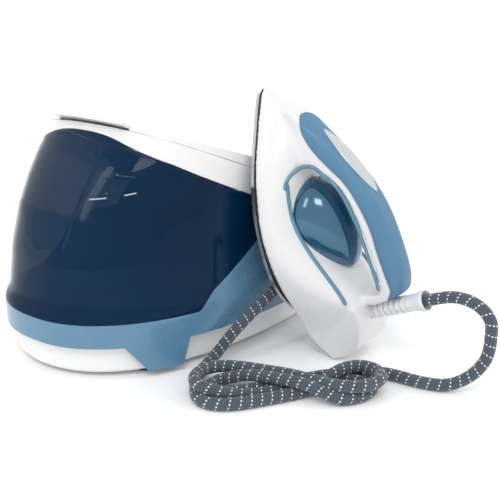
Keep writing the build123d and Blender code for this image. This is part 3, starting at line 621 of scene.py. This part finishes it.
def plate_solid(verts, faces, outline, half):
    """A side view shape in the iron's own axes, as thick as half gives for each of its points."""
    base, count = len(verts), len(outline)
    for side in (1, -1):
        for u, w in outline:
            verts.append((u, side * (half(u, w) if callable(half) else half), w))
    faces.append([base + k for k in range(count)])
    faces.append([base + count + k for k in reversed(range(count))])
    for k in range(count):
        j = (k + 1) % count
        faces.append((base + k, base + count + k, base + count + j, base + j))


def white_body():
    """Skirt, handle core and heel, run together as one softened mass."""
    verts, faces = [], []
    skirt_solid(verts, faces)
    loop = EDGE + [(-17, 25.5), (-9, 15), (-20, 12), (-83, 20)] + GRIP[::-1] + [(-226, 70), (-227.5, 88)]
    plate_solid(verts, faces, loop, lambda u, w: max(3.0, min(16.6, 3.0 + (-u - 9) * 0.62)))
    heel = [(-225, 9), (-251, 9.5), (-266, 21), (-280, 35.5), (-276, 54), (-269, 67), (-254, 73), (-236, 77),
            (-225, 77)]
    plate_solid(verts, faces, heel, 30.5)
    obj = piece("iron_body", from_iron(verts), faces, WHITE, "iron",
                ["iron_skirt", "handle_core", "heel_cover"])
    mesh = bmesh.new()
    mesh.from_mesh(obj.data)
    bmesh.ops.triangulate(mesh, faces=[f for f in mesh.faces if len(f.verts) > 4])
    mesh.to_mesh(obj.data)
    mesh.free()
    remesh = obj.modifiers.new("remesh", "REMESH")
    remesh.mode, remesh.voxel_size = "VOXEL", 0.0014
    smooth = obj.modifiers.new("smooth", "SMOOTH")
    smooth.factor, smooth.iterations = 0.5, 26
    apply(obj)


def grid_piece(name, rows, paint, replaced, depth, bevel, body="iron"):
    """A thickened sheet through rows of points in the iron's own axes."""
    verts = [at_iron(*p) for row in rows for p in row]
    wide = len(rows[0])
    faces = []
    for i in range(len(rows) - 1):
        for k in range(wide - 1):
            a = i * wide + k
            faces.append((a, a + 1, a + 1 + wide, a + wide))
    return thicken(piece(name, verts, faces, paint, body, replaced), depth, bevel)


def cover_section(u):
    """Half width, lower edge and top of the handle cover at a station."""
    front = max(0.0, min(1.0, (-u - 31.5) / 16))
    rear = max(0.0, min(1.0, (u + 224.5) / 12))
    rear_share = 0.55 + 0.45 * math.sqrt(1 - (1 - rear) ** 2)
    half = COVER_HALF * math.sqrt(1 - (1 - front) ** 2) ** 0.9 * rear_share
    return half, eased(EDGE, u), eased(TOP, u)


def cover():
    """The blue shell along the handle, rounded in at both ends."""
    rows = []
    stations = [-31.8, -33, -35, -38] + [-42 - 5 * i for i in range(35)]
    stations += [-214, -217, -219.5, -221.5, -223, -224]
    for u in stations:
        half, edge, top = cover_section(u)
        rear = max(0.0, min(1.0, (u + 224.5) / 7))
        top = edge + (top - edge) * (0.35 + 0.65 * math.sqrt(1 - (1 - rear) ** 2))
        row = []
        for k in range(25):
            a = math.pi - math.pi * k / 24
            c, s = math.cos(a), math.sin(a)
            v = half * math.copysign(abs(c) ** (2 / COVER_POWER), c)
            row.append((u, v, edge + (top - edge) * s ** (2 / COVER_POWER)))
        rows.append(row)
    soft_edges(grid_piece("handle_top", rows, HANDLE, ["handle_cover"], 2.0, 0.6), 50)


def lens_button():
    """The grey insert, a pointed oval that stands a little above the cover."""
    start, length, half_width = -50.5, 67, 9.6
    rows = []
    for i in range(41):
        t = i / 40
        u = start - length * t
        wide = half_width * math.sin(math.pi * t) ** 0.62 + 0.05
        row = []
        for k in range(17):
            v = wide * (2 * k / 16 - 1)
            half, edge, top = cover_section(u)
            base = edge + (top - edge) * (1 - min(1, abs(v) / half) ** COVER_POWER) ** (1 / COVER_POWER)
            rim = min(1.0, min(1 - abs(v) / wide, 4 * t, 4 * (1 - t)) * 5)
            row.append((u, v, base + 0.3 + 0.9 * math.sqrt(max(0, rim))))
        rows.append(row)
    lens = grid_piece("thumb_lens", rows, INSERT, ["thumb_button"], 2.4, 0.3, body="thumb_key")
    soft_edges(lens, 50)


def dome():
    """The dark blue dome under the handle, a drop shape in plan that rises out of the white body."""
    start, length, half_width, height = -95.0, 96, 36.8, 37.0
    rows = []
    for i in range(45):
        t = i / 44
        u = start - length * t
        wide = half_width * math.sin(math.pi * t**0.82) ** 0.6 + 0.05
        row = []
        for k in range(33):
            v = wide * (2 * k / 32 - 1)
            r = abs(v) / wide
            rise = height * max(0, 1 - r**2.4) ** 0.5 * math.sin(math.pi * t**0.9) ** 0.62
            row.append((u, v, body_w(u, v) - 0.8 + rise))
        rows.append(row)
    soft_edges(grid_piece("dome_shell", rows, DOME, ["body_dome"], 2.2, 0.3), 60)


def trim(name, points, radius, replaced):
    """A round bead through points in the iron's own axes, mirrored to the other side, with tapered ends."""
    sides = 10
    verts, faces = [], []
    for side in (1, -1):
        path = [Vector((u, side * v, w)) for u, v, w in points]
        fine = []
        for i in range(len(path) - 1):
            p0, p1, p2, p3 = path[max(0, i - 1)], path[i], path[i + 1], path[min(len(path) - 1, i + 2)]
            for k in range(8):
                t = k / 8
                fine.append(0.5 * ((2 * p1) + (p2 - p0) * t + (2 * p0 - 5 * p1 + 4 * p2 - p3) * t * t
                                   + (3 * p1 - p0 - 3 * p2 + p3) * t**3))
        fine.append(path[-1])
        base = len(verts)
        for i, p in enumerate(fine):
            ahead = (fine[min(i + 1, len(fine) - 1)] - fine[max(i - 1, 0)]).normalized()
            out = Vector((0, 1, 0)).cross(ahead).normalized()
            up = ahead.cross(out)
            end = min(1.0, min(i, len(fine) - 1 - i) / 4 + 0.15)
            for k in range(sides):
                a = 2 * math.pi * k / sides
                verts.append(p + (out * math.cos(a) + up * math.sin(a)) * radius * math.sqrt(end))
        for i in range(len(fine) - 1):
            for k in range(sides):
                a, b = base + i * sides + k, base + i * sides + (k + 1) % sides
                faces.append((a, b, b + sides, a + sides))
        faces.append([base + k for k in reversed(range(sides))])
        faces.append([len(verts) - sides + k for k in range(sides)])
    piece(name, from_iron(verts), faces, TRIM, "iron", replaced)


def trims():
    """One bead round the dome's lower edge, and one up the handle's foot and along its opening."""
    low = [(-93, 33.4), (-104, 35.4), (-116, 36.8), (-131, 37.4), (-149, 37), (-169, 36.2), (-187, 35.4),
           (-203, 34.4), (-214, 33.4), (-220, 32.6)]
    trim("trim_lower", [(u, v, body_w(u, v) + 0.2) for u, v in low], 2.0, ["accent_trim_lower"])
    start = [(-99, 37.5), (-92, 34.0), (-86.5, 28.5)]
    up = [(u, v, body_w(u, v) + 0.3) for u, v in start]
    up += [(-82.5, 21.5, 41), (-82, 17.6, 48), (-84.6, 16.8, 56)]
    up += [(u + 1.2, 17.0, w - 1.2) for u, w in GRIP[-4:1:-1]]
    trim("trim_upper", up, 1.9, ["accent_trim_upper"])


def relief():
    """Ribbed strain relief with a flared end, turned about its axis."""
    low, top = Vector((-239, 0, 62)), Vector((-228, 0, 138))
    axis = (top - low).normalized()
    out = axis.cross(Vector((0, 1, 0))).normalized()
    sides, ribs, rib_pitch, groove = 36, 7, 6.4, 7.0
    profile = [(0, 0.1), (0, 10), (8.5, 10), (10.5, 9.4), (13, 9.0)]
    for k in range(ribs):
        start = 14 + rib_pitch * k
        big = 8.9 - 0.05 * k
        profile += [(start, big), (start + 3.8, big), (start + 4.1, groove), (start + 5.9, groove)]
        profile.append((start + 6.2, big))
    profile += [(60, 8.5), (64, 8.7), (68, 9.3), (71, 10.2), (74.5, 10.6), (76.8, 10.2), (76.6, 9.4),
                (72, 7.6), (66, 6.3)]
    verts, faces = [], []
    for along, radius in profile:
        for k in range(sides):
            a = 2 * math.pi * k / sides
            p = low + axis * along + (out * math.cos(a) + Vector((0, 1, 0)) * math.sin(a)) * radius
            verts.append(at_iron(*p))
    for i in range(len(profile) - 1):
        for k in range(sides):
            a, b = i * sides + k, i * sides + (k + 1) % sides
            faces.append((a, b, b + sides, a + sides))
    obj = piece("relief_sleeve", verts, faces, RELIEF, "iron", ["hose_relief"])
    return soft_edges(obj, 40)


white_body()
cover()
lens_button()
dome()
trims()
sleeve = relief()


# ---------------------------------------------------------------- the steam hose
HOSE_R = 5.8
HOSE_SIDES = 24
HANK = Matrix(((0.68, 0.73, 0, -98), (-0.73, 0.68, 0, -225), (0, 0, 1, 0), (0, 0, 0, 1)))
# The hank's turns, in its own axes on the table.
TURNS = [(-86, -8, 6), (-80, -22, 6), (-64, -29, 6), (-44, -27, 6), (-22, -20, 6), (5, -11, 6),
         (20, -4.5, 6.2), (34, 2, 10.5), (44, 8, 16.5), (58, 18, 17.7), (74, 21, 17.7), (87, 10, 17.7),
         (88, -6, 17.7), (78, -20, 17.7), (60, -25, 17.7), (40, -20, 17.7), (20, -6, 17.7), (2, 5.5, 17.7),
         (-20, 15, 17.7), (-42, 24, 17.7), (-62, 28, 17.7), (-80, 20, 17.7), (-88, 4, 17.7),
         (-84, -12, 17.5), (-70, -18, 15), (-52, -16, 9.5), (-34, -11, 6), (-18, -6, 6), (0, 0, 6),
         (22, 8, 6), (42, 13.5, 6), (60, 16, 6), (74, 8, 6), (80, -2, 6), (76, -12, 6), (62, -22, 6),
         (44, -26, 7), (30, -21, 12), (16, -14, 17), (-2.4, -5.5, 17.7), (-22, 3, 17.7), (-40, 11, 16),
         (-54, 15, 11), (-64, 16, 8.5), (-72, 10, 7), (-73, 1, 6.2), (-66, -6, 6), (-54, -5.5, 6),
         (-40, -1.5, 6), (-24, 3, 6), (-5, 11, 6), (16, 18, 6), (38, 25, 6), (56, 27.5, 6), (72.5, 25.2, 6)]
# From the station's outlet down to the table and on to the hank.
RISE = [(60, -141, 88), (44, -141, 88), (22, -143, 80), (-3, -146, 69), (-28, -146.4, 58), (-54, -143, 45),
        (-78, -137, 28), (-98, -134, 12), (-120, -137, 6.4), (-140, -146, 6.2), (-153, -160, 6)]
# From the hank along the table and up into the iron's strain relief.
RUN = [(-19, -267, 6), (-11.6, -278, 6), (-9, -292, 6), (-8.2, -308, 6), (-5, -324, 6), (2, -338, 6.6),
       (10, -349, 12), (15.6, -359, 22), (19, -366, 35), (20, -368, 48), (20, -368, 60), (20, -368, 71),
       (20, -361, 81), (20, -349, 87), (20, -335, 88.5), (20, -322, 86), (19.97, -308.8, 80.6),
       (19.7, -296.7, 75.7)]


def hose(name, route, body, replaced):
    """A braided tube along one smooth curve through the route's control points."""
    data = bpy.data.curves.new(name + "_route", "CURVE")
    data.dimensions = "3D"
    spline = data.splines.new("NURBS")
    spline.points.add(len(route) - 1)
    for point, place in zip(spline.points, route):
        point.co = (*((Vector(place) + STATION) * MM), 1)
    spline.order_u = 3
    spline.use_endpoint_u = True
    spline.resolution_u = 8
    guide = bpy.data.objects.new(name + "_route", data)
    line = bpy.data.meshes.new_from_object(guide)
    path = [v.co.copy() for v in line.vertices]
    bpy.data.objects.remove(guide)
    sides, verts, faces, uvs = HOSE_SIDES, [], [], []
    side = None
    walked = [0.0]
    for a, b in zip(path, path[1:]):
        walked.append(walked[-1] + (b - a).length)
    for i, p in enumerate(path):
        ahead = (path[min(i + 1, len(path) - 1)] - path[max(i - 1, 0)]).normalized()
        side = ahead.orthogonal() if side is None else side - ahead * side.dot(ahead)
        side.normalize()
        other = ahead.cross(side)
        for k in range(sides):
            a = 2 * math.pi * k / sides
            verts.append(p + (side * math.cos(a) + other * math.sin(a)) * HOSE_R * MM)
    for i in range(len(path) - 1):
        for k in range(sides):
            a, b = i * sides + k, i * sides + (k + 1) % sides
            faces.append((a, b, b + sides, a + sides))
            uvs += [(walked[i], k / sides), (walked[i], (k + 1) / sides), (walked[i + 1], (k + 1) / sides),
                    (walked[i + 1], k / sides)]
    faces.append([k for k in reversed(range(sides))])
    faces.append([len(verts) - sides + k for k in range(sides)])
    uvs += [(0, 0)] * (2 * sides)
    obj = piece(name, verts, faces, BRAID, body, replaced, uvs=uvs)
    return soft_edges(obj, 60), path, walked[-1]


to_station = [tuple(HANK @ Vector(p)) for p in TURNS]
coil, coil_path, coil_length = hose("hose_coil", RISE + to_station, "station",
                                    ["hose_rise", "hose_hank"])
tail, tail_path, tail_length = hose("hose_tail", [to_station[-1]] + RUN, None,
                                    ["hose_run", "hose_loop"])
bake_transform(tail)

# ---------------------------------------------------------------- floor
FLOOR_HALF = 6
mesh = bpy.data.meshes.new("floor")
corners = [(FLOOR_HALF * x, FLOOR_HALF * y, 0) for x, y in ((-1, -1), (1, -1), (1, 1), (-1, 1))]
mesh.from_pydata(corners, [], [(0, 1, 2, 3)])
mesh.materials.append(FLOOR.material)
ground = bpy.data.objects.new("floor", mesh)
bpy.context.scene.collection.objects.link(ground)
